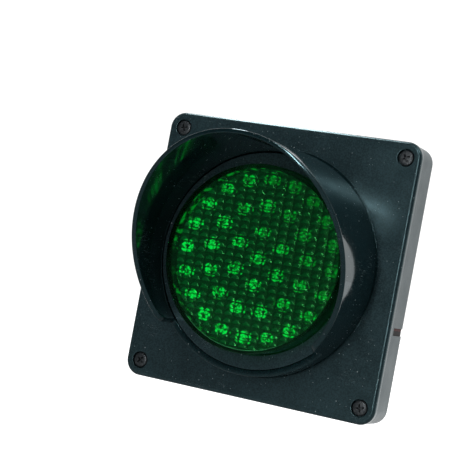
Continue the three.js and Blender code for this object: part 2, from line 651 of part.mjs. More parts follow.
place('rear_housing', rearHousing(), blackPlastic);
place('housing_gasket', housingSeal(), rubber);
place('cable_grommet', cableGrommet(), rubber);
place('side_entry_plug', entryPlug(), rubber);
place('side_entry_seal', entrySeal(), redRubber);
place('front_cover', frontCover(), blackPlastic);
for (const [name, sx, sy] of corners) {
  const at = [sx * SCREW_XY, sy * SCREW_XY, SCREW_UNDER];
  place(`cover_screw_${name}`, coverScrew(), blackSteel, at);
}
place('hood', hood(), blackPlastic);
place('lens', lens(), greenPlastic);
place('lens_gasket', lensSeal(), rubber);
place('lens_retaining_ring', snapRing(), blackPlastic);
place('led_board', ledBoard(), laminate);
place('led_centre', centreLed(), ledResin);
LED_RINGS.forEach(([name, count], i) => {
  place(`led_ring_${name}`, ledRing(count, LED_PITCH * (i + 1)), ledResin);
});
pillars.forEach(([x, y], i) => {
  place(`board_screw_${i + 1}`, smallScrew(SMALL_LENGTH), brightSteel, [x, y, BOARD_FRONT + GAP]);
});
place('led_board_socket', boardSocket(), greyPlastic);
place('driver_board', driverBoard(), laminate);
for (const [name, side] of [['left', -1], ['right', 1]]) {
  const at = [side * DRIVER_HOLE_X, DRIVER_Y, DRIVER_FRONT + GAP];
  place(`driver_screw_${name}`, smallScrew(DRIVER_SCREW), brightSteel, at);
}
place('terminal_block', terminalBlock(), greyPlastic);
for (let pole = 0; pole < TERMINAL_POLES; pole += 1) {
  const at = [terminalX(pole), DRIVER_Y, PART_BASE + TERMINAL_HIGH - GAP];
  place(`terminal_screw_${pole + 1}`, terminalScrew(), brightSteel, at);
}
place('fuse', fuse(FUSE_X, DRIVER_Y), greyPlastic);
place('film_capacitor', filmCapacitor(0, DRIVER_Y - 6), redRubber);
place('rectifier', rectifier(0, DRIVER_Y + 5), rubber);
place('smoothing_capacitor', smoothingCapacitor(CAN_X, DRIVER_Y - CAN_RADIUS), greyPlastic);
place('dropper_resistor_upper', resistor(RESISTOR_X, DRIVER_Y + 1), greyPlastic);
place('dropper_resistor_lower', resistor(RESISTOR_X, DRIVER_Y - 6), greyPlastic);
place('led_lead_positive', driverLead(1), redRubber);
place('led_lead_negative', driverLead(-1), rubber);

export default head;
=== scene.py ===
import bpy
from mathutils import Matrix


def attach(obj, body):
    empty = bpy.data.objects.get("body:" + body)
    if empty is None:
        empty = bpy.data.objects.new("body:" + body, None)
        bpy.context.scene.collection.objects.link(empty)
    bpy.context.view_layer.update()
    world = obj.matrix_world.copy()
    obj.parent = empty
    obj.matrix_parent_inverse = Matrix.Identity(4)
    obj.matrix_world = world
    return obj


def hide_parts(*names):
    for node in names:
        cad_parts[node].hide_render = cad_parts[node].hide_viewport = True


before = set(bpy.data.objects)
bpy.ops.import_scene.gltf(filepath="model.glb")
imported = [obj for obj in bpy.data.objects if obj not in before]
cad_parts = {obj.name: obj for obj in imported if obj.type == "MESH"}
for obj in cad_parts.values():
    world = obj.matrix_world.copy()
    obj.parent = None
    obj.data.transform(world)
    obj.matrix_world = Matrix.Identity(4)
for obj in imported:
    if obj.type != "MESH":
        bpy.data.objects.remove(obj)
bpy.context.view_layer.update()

import math

import bmesh
import bpy
import numpy as np
from mathutils import Matrix, Vector

scene = bpy.context.scene

# ---- camera -------------------------------------------------------------------------------------
# The view: level with the lens, 24 degrees to the right of its axis and 0.8 m away, with the picture
# turned a little clockwise. The shift only sets the head in the frame.
EYE = Vector((0.33460, -0.77554, -0.01449))
AIM = Vector((0.00039, -0.02500, 0.00004))
TURN = math.radians(10.6)
LENS_LENGTH, SENSOR = 103.7, 36
SHIFT = (-0.0839, 0.0704)

ahead = (AIM - EYE).normalized()
across = ahead.cross(Vector((0, 0, 1))).normalized()
upward = across.cross(ahead)
side_axis = across * math.cos(TURN) + upward * math.sin(TURN)
top_axis = upward * math.cos(TURN) - across * math.sin(TURN)
camera_data = bpy.data.cameras.new("view")
camera_data.lens = LENS_LENGTH
camera_data.sensor_width = SENSOR
camera_data.shift_x, camera_data.shift_y = SHIFT
camera_data.clip_start = 0.01
camera = bpy.data.objects.new("view", camera_data)
aimed = Matrix((side_axis, top_axis, -ahead)).transposed().to_4x4()
camera.matrix_world = Matrix.Translation(EYE) @ aimed
scene.collection.objects.link(camera)
scene.camera = camera

# ---- studio -------------------------------------------------------------------------------------
# A plain pale floor below the head, a white room behind it, and three soft boxes: one above, one high on
# the right, and a narrow strip in front that draws the bright lines along the rounded edges. The room in
# front is dim, so black plastic stays black where it faces the driver. Metres.
FLOOR_Z = -0.24
FLOOR_REACH = 9.0
DIM_ROOM, WHITE_ROOM = (0.06, 0.065, 0.07, 1), (1.15, 1.15, 1.15, 1)
DIM_FLOOR, PALE_FLOOR = (0.28, 0.28, 0.28, 1), (0.72, 0.72, 0.72, 1)


def wire(tree, source, target):
    """Joins an output socket to an input socket."""
    tree.links.new(source, target)


room = bpy.data.worlds.new("studio")
scene.world = room
room.use_nodes = True
tree = room.node_tree
direction = tree.nodes.new("ShaderNodeTexCoord")
split = tree.nodes.new("ShaderNodeSeparateXYZ")
ramp = tree.nodes.new("ShaderNodeValToRGB")
wire(tree, direction.outputs["Generated"], split.inputs[0])
back_share = tree.nodes.new("ShaderNodeMapRange")
back_share.inputs["From Min"].default_value = -1
wire(tree, split.outputs["Y"], back_share.inputs["Value"])
wire(tree, back_share.outputs["Result"], ramp.inputs["Fac"])
for stop, colour, place in zip(ramp.color_ramp.elements, (DIM_ROOM, WHITE_ROOM), (0.45, 0.80)):
    stop.color = colour
    stop.position = place
wire(tree, ramp.outputs["Color"], tree.nodes["Background"].inputs["Color"])
scene.view_settings.view_transform = "Standard"


def soft_box(name, place, target, size, power):
    """A square area light that looks from place to target."""
    data = bpy.data.lights.new(name, "AREA")
    data.shape = "RECTANGLE"
    data.size, data.size_y = size
    data.energy = power
    light = bpy.data.objects.new(name, data)
    light.location = place
    light.rotation_euler = (Vector(target) - Vector(place)).to_track_quat("-Z", "Y").to_euler()
    scene.collection.objects.link(light)
    return light


soft_box("box_top", (-0.55, -0.04, 1.25), (0, 0, 0), (1.3, 0.22), 21)
soft_box("box_strip", (-0.02, -1.48, 0.12), (0.05, 0, 0.02), (0.06, 1.2), 9)
soft_box("box_right", (0.85, -0.80, 1.25), (0.02, 0, 0.03), (0.7, 0.6), 10)

floor_mesh = bpy.data.meshes.new("floor")
square = [(-1, -1), (1, -1), (1, 1), (-1, 1)]
floor_mesh.from_pydata([(FLOOR_REACH * x, FLOOR_REACH * y, FLOOR_Z) for x, y in square], [], [(0, 1, 2, 3)])
floor = bpy.data.objects.new("floor", floor_mesh)
scene.collection.objects.link(floor)
floor_paint = bpy.data.materials.new("floor_paint")
floor_paint.use_nodes = True
floor_shader = floor_paint.node_tree.nodes["Principled BSDF"]
floor_shader.inputs["Roughness"].default_value = 0.9
floor_shader.inputs["Specular IOR Level"].default_value = 0.1
floor_shader.inputs["Emission Color"].default_value = (1, 1, 1, 1)
tree = floor_paint.node_tree
split = tree.nodes.new("ShaderNodeSeparateXYZ")
wire(tree, tree.nodes.new("ShaderNodeTexCoord").outputs["Object"], split.inputs[0])
lit_back = tree.nodes.new("ShaderNodeMapRange")
lit_back.inputs["From Min"].default_value = 0.05
lit_back.inputs["From Max"].default_value = 0.6
wire(tree, split.outputs["Y"], lit_back.inputs["Value"])
wire(tree, lit_back.outputs["Result"], floor_shader.inputs["Emission Strength"])
pale = tree.nodes.new("ShaderNodeMix")
pale.data_type = "RGBA"
pale.inputs[6].default_value = DIM_FLOOR
pale.inputs[7].default_value = PALE_FLOOR
wire(tree, lit_back.outputs["Result"], pale.inputs[0])
wire(tree, pale.outputs[2], floor_shader.inputs["Base Color"])
floor_mesh.materials.append(floor_paint)

# ---- rear housing -------------------------------------------------------------------------------
# The rear half of the box: injection-moulded black plastic, 4.6 mm walls, with corner posts for the
# cover's screws, pillars for the LED board and a slot for a side cable in the right-hand wall.
MM = 0.001
HALF = 86.0  # half the side of the cover
CORNER = 10.0
CORNER_CENTRE = HALF - CORNER
HOUSING_HALF = 85.7
HOUSING_FRONT = 20.2
CAVITY_HALF = 81.1
BACK_WALL = 3.0
EDGE = 1.2  # rounding of the rear edge
GROOVE_OUT, GROOVE_IN, GROOVE_FLOOR = 84.7, 82.1, 18.6  # for the seal, in the front of the wall
SCREW_XY = 76.0
POST_R, POST_TOP, THREAD_R = 5.2, 17.5, 2.7
WEB_HALF, WEB_TOP, WEB_END = 1.5, 17.4, 82  # of the web from a corner post to the wall
POST_ROOT = 2  # posts and pillars start inside the back wall
PILLAR_XY, PILLAR_R, PILLAR_TOP, PILOT_R = 28.8, 3.6, 26.4, 1.7
DRIVER_X, DRIVER_Z, DRIVER_TOP = 44, -67.5, 6
FIXING_XY, FIXING_R = 60, 2.7
GROMMET_X, GROMMET_Z, GROMMET_R = -58, -42, 8.0
ENTRY_LOW, ENTRY_TOP, ENTRY_LONG = -30, -25.4, 17  # side cable slot


def mesh_piece(name, points, faces):
    """A mesh object from an array of points in millimetres and a list or array of faces."""
    mesh = bpy.data.meshes.new(name)
    mesh.from_pydata((np.asarray(points) * MM).tolist(), [], np.asarray(faces).tolist())
    piece = bpy.data.objects.new(name, mesh)
    scene.collection.objects.link(piece)
    return piece


def grid_faces(rows, columns, shut):
    """Faces between neighbouring rows and columns; shut joins the last column to the first."""
    row, column = np.meshgrid(np.arange(rows - 1), np.arange(columns - (not shut)), indexing="ij")
    after = (column + 1) % columns
    corners = [row * columns + column, row * columns + after, (row + 1) * columns + after,
               (row + 1) * columns + column]
    return np.stack([c.ravel() for c in corners], axis=1)


def close_up(piece, angle=30):
    """Merges doubles, turns every face outwards, and keeps edges sharper than angle as edges."""
    cage = bmesh.new()
    cage.from_mesh(piece.data)
    bmesh.ops.remove_doubles(cage, verts=cage.verts, dist=2e-6)
    bmesh.ops.dissolve_degenerate(cage, edges=cage.edges, dist=1e-7)
    bmesh.ops.recalc_face_normals(cage, faces=cage.faces)
    if cage.calc_volume(signed=True) < 0:
        bmesh.ops.reverse_faces(cage, faces=cage.faces)
    cage.to_mesh(piece.data)
    cage.free()
    piece.data.shade_smooth()
    piece.data.set_sharp_from_angle(angle=math.radians(angle))
    return piece


def ring_shell(name, rings, shut_along=True):
    """A closed surface from rings [ring, place, xyz]; shut_along joins the last ring to the first."""
    rings = np.asarray(rings)
    if shut_along:
        rings = np.concatenate([rings, rings[:1]])
    count, places = rings.shape[:2]
    return close_up(mesh_piece(name, rings.reshape(-1, 3), grid_faces(count, places, True)))


def round_angles(quarter, corner):
    """Polar angles round the box: quarter steps along each side half and corner steps round each corner."""
    low = math.degrees(math.atan(CORNER_CENTRE / HALF))
    spans = ((0, low, quarter), (low, 90 - low, corner), (90 - low, 90, quarter))
    first = np.concatenate([np.linspace(*span)[:-1] for span in spans])
    return np.radians(np.concatenate([first + 90 * k for k in range(4)]))


def square_ring(angles, half, depth):
    """Points of a square of that half side at a depth, its corners rounded about the cover's corner centres.
    Along a polar angle the side is at half/max(|cos|, |sin|); a corner solves |r d - k| = corner radius."""
    c, s = np.cos(angles), np.sin(angles)
    m, n = np.maximum(abs(c), abs(s)), np.minimum(abs(c), abs(s))
    k = CORNER_CENTRE
    radius = half - k
    inside = k * k * (m + n) ** 2 - 2 * k * k + radius * radius
    corner = k * (m + n) + np.sqrt(np.maximum(inside, 0))
    r = np.where(half * n / m <= k, half / m, corner)
    return np.stack([r * c, np.full_like(c, -depth), r * s], axis=1)


def circle_ring(angles, radius, depth):
    """Points of a circle about the lens axis."""
    return np.stack([radius * np.cos(angles), np.full_like(angles, -depth), radius * np.sin(angles)], axis=1)


def plain_ring(angles, half, depth):
    """A square ring far inside the corners: the wall's ring scaled down."""
    ring = square_ring(angles, CAVITY_HALF, depth)
    ring[:, [0, 2]] *= half / CAVITY_HALF
    return ring


def arc(start, stop, steps):
    """Pairs (cos, sin) from one angle to another, in degrees."""
    turn = np.radians(np.linspace(start, stop, steps))
    return list(zip(np.cos(turn), np.sin(turn)))


def bored(piece, cutters, operation="DIFFERENCE"):
    """Cuts the cutters out of the piece, or joins them to it, and removes them."""
    for cutter in cutters:
        step = piece.modifiers.new("cut", "BOOLEAN")
        step.operation = operation
        step.solver = "EXACT"
        step.object = cutter
    bpy.context.view_layer.objects.active = piece
    for step in list(piece.modifiers):
        with bpy.context.temp_override(object=piece, active_object=piece, selected_objects=[piece]):
            bpy.ops.object.modifier_apply(modifier=step.name)
    for cutter in cutters:
        bpy.data.objects.remove(cutter)
    return piece


def turned(name, profile, x=0.0, z=0.0, places=48):
    """A solid turned about -Y through (x, z), from (radius r, depth d) pairs: the points are
    (x + r cos t, -d, z + r sin t). One that starts off the axis is a ring."""
    angles = np.linspace(0, 2 * np.pi, places, endpoint=False)
    rings = np.array([circle_ring(angles, r, d) for r, d in profile]) + np.array([x, 0, z])
    return ring_shell(name, rings, shut_along=profile[0][0] > 0)


def slab_block(name, low, high):
    """A plain block between two corners given as (x, depth, z)."""
    spans = list(zip(low, high))
    points = np.array([(x, -depth, z) for x in spans[0] for depth in spans[1] for z in spans[2]])
    faces = [(0, 1, 3, 2), (4, 6, 7, 5), (0, 4, 5, 1), (2, 3, 7, 6), (0, 2, 6, 4), (1, 5, 7, 3)]
    return close_up(mesh_piece(name, points, faces))


round_box = round_angles(14, 13)
rings = [plain_ring(round_box, 0.0, 0.0), plain_ring(round_box, 40, 0.0), square_ring(round_box, 84.2, 0.0)]
for c, s in arc(-90, 0, 7):
    rings.append(square_ring(round_box, HOUSING_HALF - EDGE + EDGE * c, EDGE + EDGE * s))
wall = [(HOUSING_HALF, 1.6), (HOUSING_HALF, 19.7), (HOUSING_HALF, 20.0), (85.5, HOUSING_FRONT),
        (GROOVE_OUT, HOUSING_FRONT), (GROOVE_OUT, GROOVE_FLOOR), (GROOVE_IN, GROOVE_FLOOR),
        (GROOVE_IN, HOUSING_FRONT), (CAVITY_HALF, HOUSING_FRONT), (CAVITY_HALF, BACK_WALL)]
rings += [square_ring(round_box, half, depth) for half, depth in wall]
rings += [plain_ring(round_box, 40, BACK_WALL), plain_ring(round_box, 0.0, BACK_WALL)]
housing = ring_shell("housing_shell", rings, shut_along=False)

signs = [(sx, sz) for sx in (-1, 1) for sz in (-1, 1)]
post_profile = [(0, POST_ROOT), (POST_R, POST_ROOT), (POST_R, POST_TOP), (0, POST_TOP)]
pillar_profile = [(0, POST_ROOT), (4.4, POST_ROOT), (PILLAR_R, 6), (PILLAR_R, PILLAR_TOP), (0, PILLAR_TOP)]
driver_profile = [(0, POST_ROOT), (PILLAR_R, POST_ROOT), (PILLAR_R, DRIVER_TOP), (0, DRIVER_TOP)]
posts = []
for sx, sz in signs:
    posts.append(turned("post", post_profile, sx * SCREW_XY, sz * SCREW_XY, 32))
    left, right = sorted((sx * SCREW_XY, sx * WEB_END))
    z = sz * SCREW_XY
    posts.append(slab_block("web", (left, POST_ROOT, z - WEB_HALF), (right, WEB_TOP, z + WEB_HALF)))
for sx, sz in signs:
    posts.append(turned("pillar", pillar_profile, sx * PILLAR_XY, sz * PILLAR_XY, 32))
for x in (-DRIVER_X, DRIVER_X):
    posts.append(turned("driver_post", driver_profile, x, DRIVER_Z, 32))
bored(housing, posts, "UNION")

fixing_profile = [(0, -1), (4.2, -1), (FIXING_R, 0.5), (FIXING_R, 4), (0, 4)]
thread_profile = [(0, 6.3), (THREAD_R, 6.3), (THREAD_R, 19), (0, 19)]
pilot_profile = [(0, 20.3), (PILOT_R, 20.3), (PILOT_R, 28), (0, 28)]
driver_pilot = [(0, 3.4), (PILOT_R, 3.4), (PILOT_R, 7), (0, 7)]
grommet_profile = [(0, -1), (9, -1), (GROMMET_R, 0), (GROMMET_R, 4), (0, 4)]
holes = [slab_block("slot", (80, -1, ENTRY_LOW), (87, ENTRY_LONG, ENTRY_TOP)),
         turned("grommet_hole", grommet_profile, GROMMET_X, GROMMET_Z, 48)]
for sx, sz in signs:
    holes.append(turned("fixing", fixing_profile, FIXING_XY * sx, FIXING_XY * sz, 32))
    holes.append(turned("thread", thread_profile, SCREW_XY * sx, SCREW_XY * sz, 24))
for sx, sz in signs:
    holes.append(turned("pilot", pilot_profile, sx * PILLAR_XY, sz * PILLAR_XY, 20))
for x in (-DRIVER_X, DRIVER_X):
    holes.append(turned("driver_pilot", driver_pilot, x, DRIVER_Z, 20))
bored(housing, holes)
close_up(housing)


class Paint:
    """A node material: a Principled shader with small helpers to build its inputs."""

    def __init__(self, name):
        self.material = bpy.data.materials.new(name)
        self.material.use_nodes = True
        self.tree = self.material.node_tree
        self.shader = self.tree.nodes["Principled BSDF"]
        self.where = self.tree.nodes.new("ShaderNodeTexCoord").outputs["Object"]

    def set(self, **values):
        """Sets the shader's plain values; an underscore in a key stands for a space."""
        for key, value in values.items():
            self.shader.inputs[key.replace("_", " ")].default_value = value
        return self

    def join(self, source, target):
        wire(self.tree, source, target)

    def noise(self, per_metre, detail=4, rough=0.55, squeeze=(1, 1, 1)):
        """Smooth noise whose grains are about 1 / per_metre across."""
        place = self.tree.nodes.new("ShaderNodeMapping")
        place.inputs["Scale"].default_value = squeeze
        self.join(self.where, place.inputs["Vector"])
        node = self.tree.nodes.new("ShaderNodeTexNoise")
        node.inputs["Scale"].default_value = per_metre
        node.inputs["Detail"].default_value = detail
        node.inputs["Roughness"].default_value = rough
        self.join(place.outputs[0], node.inputs["Vector"])
        return node.outputs["Fac"]

    def specks(self, per_metre, radius):
        """1 inside small round dots scattered through space, 0 outside."""
        node = self.tree.nodes.new("ShaderNodeTexVoronoi")
        node.inputs["Scale"].default_value = per_metre
        self.join(self.where, node.inputs["Vector"])
        return self.band(node.outputs["Distance"], radius, radius * 0.6)

    def band(self, value, low, high, bottom=0.0, top=1.0):
        """Maps low..high of a value to bottom..top, clamped."""
        node = self.tree.nodes.new("ShaderNodeMapRange")
        for key, number in (("From Min", low), ("From Max", high), ("To Min", bottom), ("To Max", top)):
            node.inputs[key].default_value = number
        self.join(value, node.inputs["Value"])
        return node.outputs["Result"]

    def math(self, how, a, b=0.0):
        """Arithmetic on two values, each a number or a socket."""
        node = self.tree.nodes.new("ShaderNodeMath")
        node.operation = how
        for socket, value in zip(node.inputs, (a, b)):
            if isinstance(value, (int, float)):
                socket.default_value = value
            else:
                self.join(value, socket)
        return node.outputs[0]

    def blend(self, share, first, second):
        """A colour that goes from first to second with share."""
        node = self.tree.nodes.new("ShaderNodeMix")
        node.data_type = "RGBA"
        for socket, value in ((node.inputs[6], first), (node.inputs[7], second)):
            if isinstance(value, tuple):
                socket.default_value = (*value, 1)
            else:
                self.join(value, socket)
        self.join(share, node.inputs[0])
        return node.outputs[2]

    def bump(self, height, strength, distance):
        """Fine relief from a height value; distance is in metres."""
        node = self.tree.nodes.new("ShaderNodeBump")
        node.inputs["Strength"].default_value = strength
        node.inputs["Distance"].default_value = distance
        self.join(height, node.inputs["Height"])
        self.join(node.outputs[0], self.shader.inputs["Normal"])
        return self

    def feed(self, name, value):
        """Joins a socket to the shader's input of that name."""
        self.join(value, self.shader.inputs[name])
        return self


def black_plastic(name, base, rough, dust=0.5, grain=0.35):
    """Moulded black plastic: fine spark-eroded grain, faint cloudiness, dust specks and hair scratches."""
    paint = Paint(name).set(Specular_Tint=(0.55, 0.92, 1.0, 1))
    cloud = paint.noise(26, 3)
    fleck = paint.band(paint.noise(1300, 1), 0.38, 0.62, 0.0, 0.6)
    share = paint.math("ADD", paint.band(cloud, 0.3, 0.7, 0.0, 0.4), fleck)
    body = paint.blend(share, tuple(0.55 * v for v in base), tuple(1.5 * v for v in base))
    specks = paint.math("MAXIMUM", paint.specks(150, 0.055), paint.specks(330, 0.070))
    thin = paint.noise(60, 2, squeeze=(1, 1, 14))
    scratch = paint.band(paint.math("ABSOLUTE", paint.math("SUBTRACT", thin, 0.5)), 0.004, 0.001)
    patchy = paint.band(paint.noise(38, 2), 0.56, 0.66)
    hairs = paint.math("MULTIPLY", scratch, paint.math("MULTIPLY", patchy, 0.5))
    marks = paint.math("MAXIMUM", specks, hairs)
    paint.feed("Base Color", paint.blend(paint.math("MULTIPLY", marks, dust), body, (0.42, 0.47, 0.48)))
    fine = paint.noise(2600, 2)
    broad = paint.band(paint.noise(70, 4), 0.3, 0.7, -0.04, 0.05)
    roughness = paint.math("ADD", paint.band(fine, 0.3, 0.7, rough - 0.03, rough + 0.04), broad)
    paint.feed("Roughness", paint.math("ADD", roughness, paint.math("MULTIPLY", marks, 0.3)))
    return paint.bump(fine, grain, 0.00004).material


housing.data.materials.clear()
housing.data.materials.append(black_plastic("housing_black", (0.010, 0.019, 0.022), 0.34, grain=0.2))
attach(housing, "housing")
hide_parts("rear_housing")

# ---- front cover --------------------------------------------------------------------------------
# The square cover: black plastic, 2 mm rounded front edge, a deep screw seat at each corner and a
# raised boss whose land carries the lens; three lugs on the boss lock the hood.
FACE = 25.0
RIM_BACK = 20.5
SKIN_BACK = 22.2
FILLET = 2.0
BOSS = 66.8
BOSS_BORE = 63.9
LAND = 38.0  # depth of the boss's land
LAND_BACK = LAND - 2.8
LENS_R = 57.7
LENS_GAP = 0.3
LUG_ANGLES, LUG_SPAN, LUG_DEEP = (90, 195, 345), 10, 1.3
SEAT_R, SEAT_FLOOR = 5.3, 21.3


def sector_block(name, inner, outer, low, high, middle, span, steps=12):
    """A block bent round the lens axis, between two radii, two depths and two angles in degrees."""
    turn = np.radians(np.linspace(middle - span / 2, middle + span / 2, steps))
    section = [(inner, low), (outer, low), (outer, high), (inner, high)]
    rings = [[(r * math.cos(a), -d, r * math.sin(a)) for r, d in section] for a in turn]
    points = np.array(rings).reshape(-1, 3)
    faces = grid_faces(steps, 4, True).tolist() + [[0, 1, 2, 3], [4 * steps - 4 + k for k in (3, 2, 1, 0)]]
    return close_up(mesh_piece(name, points, faces))


round_cover = round_angles(24, 19)
rings = [circle_ring(round_cover, LENS_R + LENS_GAP, depth) for depth in (LAND_BACK, LAND - 0.6)]
rings += [circle_ring(round_cover, LENS_R + 0.7 - 0.4 * c, LAND - 0.4 + 0.4 * s) for c, s in arc(0, 90, 4)]
rings.append(circle_ring(round_cover, BOSS - 0.6, LAND))
rings += [circle_ring(round_cover, BOSS - 0.5 + 0.5 * c, LAND - 0.5 + 0.5 * s) for c, s in arc(90, 0, 5)]
rings += [circle_ring(round_cover, BOSS, FACE + 0.3), circle_ring(round_cover, BOSS, FACE)]
near_boss = circle_ring(round_cover, BOSS + 0.3, FACE)
near_edge = square_ring(round_cover, HALF - FILLET - 0.3, FACE)
rings += [near_boss + (near_edge - near_boss) * share for share in (0, 0.5, 1)]
for c, s in arc(90, 0, 9):
    rings.append(square_ring(round_cover, HALF - FILLET + FILLET * c, FACE - FILLET + FILLET * s))
back = [(HALF, 22.7), (HALF, 20.9), (HALF - 0.1, 20.6), (HALF - 0.4, RIM_BACK), (81, RIM_BACK),
        (81, SKIN_BACK), (80.7, SKIN_BACK)]
rings += [square_ring(round_cover, half, depth) for half, depth in back]
bore = [(BOSS_BORE, SKIN_BACK), (BOSS_BORE, 28.2), (BOSS_BORE + 0.5, 28.5), (BOSS_BORE + 0.5, 31.2),
        (BOSS_BORE, 31.5), (BOSS_BORE, LAND_BACK)]
rings += [circle_ring(round_cover, radius, depth) for radius, depth in bore]
cover = ring_shell("cover_shell", rings)
pads = [sector_block("lug", BOSS - 1, BOSS + LUG_DEEP, 27, 29.6, middle, LUG_SPAN) for middle in LUG_ANGLES]
corners = {"top_left": (-1, 1), "top_right": (1, 1), "bottom_left": (-1, -1), "bottom_right": (1, -1)}
pad_profile = [(0, 17.8), (4.8, 17.8), (4.8, RIM_BACK), (7.8, RIM_BACK), (7.8, 23), (0, 23)]
seat_profile = [(0, 27), (7.7, 27), (5.7, FACE), (5.42, 24.88), (SEAT_R, 24.6), (SEAT_R, SEAT_FLOOR),
                (THREAD_R, SEAT_FLOOR), (THREAD_R, 16.8), (0, 16.8)]
places = [(sx * SCREW_XY, sz * SCREW_XY) for sx, sz in corners.values()]
pads += [turned("pad", pad_profile, x, z, 40) for x, z in places]
bored(cover, pads, "UNION")
seats = [turned("seat", seat_profile, x, z, 64) for x, z in places]
bored(cover, seats)
close_up(cover)
flat = cover.modifiers.new("flat", "WEIGHTED_NORMAL")
flat.keep_sharp = True
flat.weight = 100
with bpy.context.temp_override(object=cover, active_object=cover, selected_objects=[cover]):
    bpy.ops.object.modifier_apply(modifier=flat.name)
cover_black = black_plastic("cover_black", (0.0150, 0.0285, 0.0325), 0.20, dust=0.8, grain=0.10)
cover.data.materials.clear()
cover.data.materials.append(cover_black)
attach(cover, "cover")
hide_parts("front_cover")

# ---- cover screws -------------------------------------------------------------------------------
# Four M5 pan-head machine screws, black-coated steel, with a cross recess; they sink into the seats.
HEAD_R = 4.75
HEAD_FOOT = 21.6
HEAD_HIGH = 3.0
SHANK_R, SHANK_LONG = 2.4, 15
RECESS_SPAN, RECESS_SLOT = 5.2, 1.15


def screw(name, x, z, turn, head_r, head_foot, head_high, shank_r, length, span, slot, places=64):
    """A pan-head screw: a rolled head, a shank with thread ridges, and a cross recess cut in the head."""
    top, tip = head_foot + head_high, head_foot - length
    rim = [(head_r - 0.9 + 0.9 * c, top - 1.25 + 1.1 * s) for c, s in arc(0, 90, 7)]
    crown = [(head_r * f, top - 0.15 * f * f) for f in (0.78, 0.6, 0.4, 0.2)]
    pitch, root = 0.8, 0.84 * shank_r
    ridges = []
    depth = head_foot - 1.0
    while depth > tip + 2.0:
        ridges += [(shank_r, depth), (root, depth - pitch / 2)]
        depth -= pitch
    profile = [(0, tip), (shank_r * 0.6, tip), (root, tip + 1.2)]
    profile += ridges[::-1] + [(shank_r, head_foot), (head_r, head_foot)] + rim + crown + [(0, top)]
    body = turned(name, profile, x, z, places)
    arms = []
    for tilt in (turn, turn + 90):
        along = np.array([math.cos(math.radians(tilt)), math.sin(math.radians(tilt))])
        over = np.array([-along[1], along[0]])
        levels = [(top + 1, span / 2, slot / 2), (top - 0.2, span / 2, slot / 2),
                  (top - 1.7, span * 0.22, slot * 0.4)]
        points = [(*(along * a * su + over * b * sv), depth) for depth, a, b in levels
                  for su, sv in ((-1, -1), (1, -1), (1, 1), (-1, 1))]
        points = np.array([(x + p, -d, z + q) for p, q, d in points])
        faces = grid_faces(3, 4, True).tolist() + [[0, 1, 2, 3], [11, 10, 9, 8]]
        arms.append(close_up(mesh_piece("arm", points, faces)))
    bored(body, arms)
    body.data.materials.clear()
    return close_up(body, 40)


paint = Paint("screw_black").set(Metallic=0.55, IOR=1.5)
worn = paint.band(paint.noise(900, 3), 0.52, 0.7)
paint.feed("Base Color", paint.blend(worn, (0.030, 0.036, 0.040), (0.085, 0.092, 0.095)))
paint.feed("Roughness", paint.band(paint.noise(2200, 2), 0.3, 0.7, 0.28, 0.45))
screw_black = paint.bump(paint.noise(1500, 3), 0.25, 0.00005).material
screw_turns = {"top_left": 20, "top_right": 33, "bottom_left": 48, "bottom_right": 12}
for name, (x, z) in zip(corners, places):
    piece = screw(f"pan_screw_{name}", x, z, screw_turns[name], HEAD_R, HEAD_FOOT, HEAD_HIGH,
                  SHANK_R, SHANK_LONG, RECESS_SPAN, RECESS_SLOT)
    piece.data.materials.append(screw_black)
    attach(piece, f"screw_{name}")
    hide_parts(f"cover_screw_{name}")

# ---- hood ---------------------------------------------------------------------------------------
# The cut-away cylindrical hood: one moulding of semi-gloss black plastic, 2.5 mm thick at its sloping
# rim and thicker at the collar, where L-shaped grooves take the boss's lugs.
HOOD_R = 70.0
HOOD_BASE_R = 71.2
HOOD_BORE = 67.1
HOOD_FOOT = 0.3  # heights are above the cover's face
HOOD_TIP = 78.4
STAND = 49.8
RISE = 27.6
COLLAR = 13.0
SIDE_AT = HOOD_R * math.radians(133)  # side edges, measured along the wall from the top
LOWEST = HOOD_R * math.pi
CORNER_R, NOTCH_R = 7.0, 1.5
EASE = 0.6  # rounding of the rim's edges
DEEP = 2.0  # how far the edge band goes in from the rim
BEAD_R = 0.45  # of the thin bead round the foot
FOOT_TOP, ABOVE_FOOT = 0.9, 5.2
TRACK_R, TRACK_TOP = 68.4, 29.9  # of the grooves for the lugs


def outer_radius(height):
    """The outside tapers evenly from the foot to the tip."""
    return HOOD_BASE_R + (HOOD_R - HOOD_BASE_R) * (height - HOOD_FOOT) / (HOOD_TIP - HOOD_FOOT)


def inner_radius(height):
    """The bore is straight in the collar and opens a little above it."""
    return HOOD_BORE + 0.4 * np.clip((height - COLLAR) / (HOOD_TIP - COLLAR), 0, 1)


def rim_height(along):
    """Height of the sloping rim at a distance along the wall from the top: a plane cut through the tube."""
    return STAND + RISE * np.cos(np.asarray(along) / HOOD_R)


def on_wall(along, height, radius):
    """The point of the hood's wall at that distance from the top (+ to the right), height and radius."""
    angle = np.asarray(along) / HOOD_R
    return np.stack([radius * np.sin(angle), -(FACE + height) + 0 * angle, radius * np.cos(angle)], axis=-1)


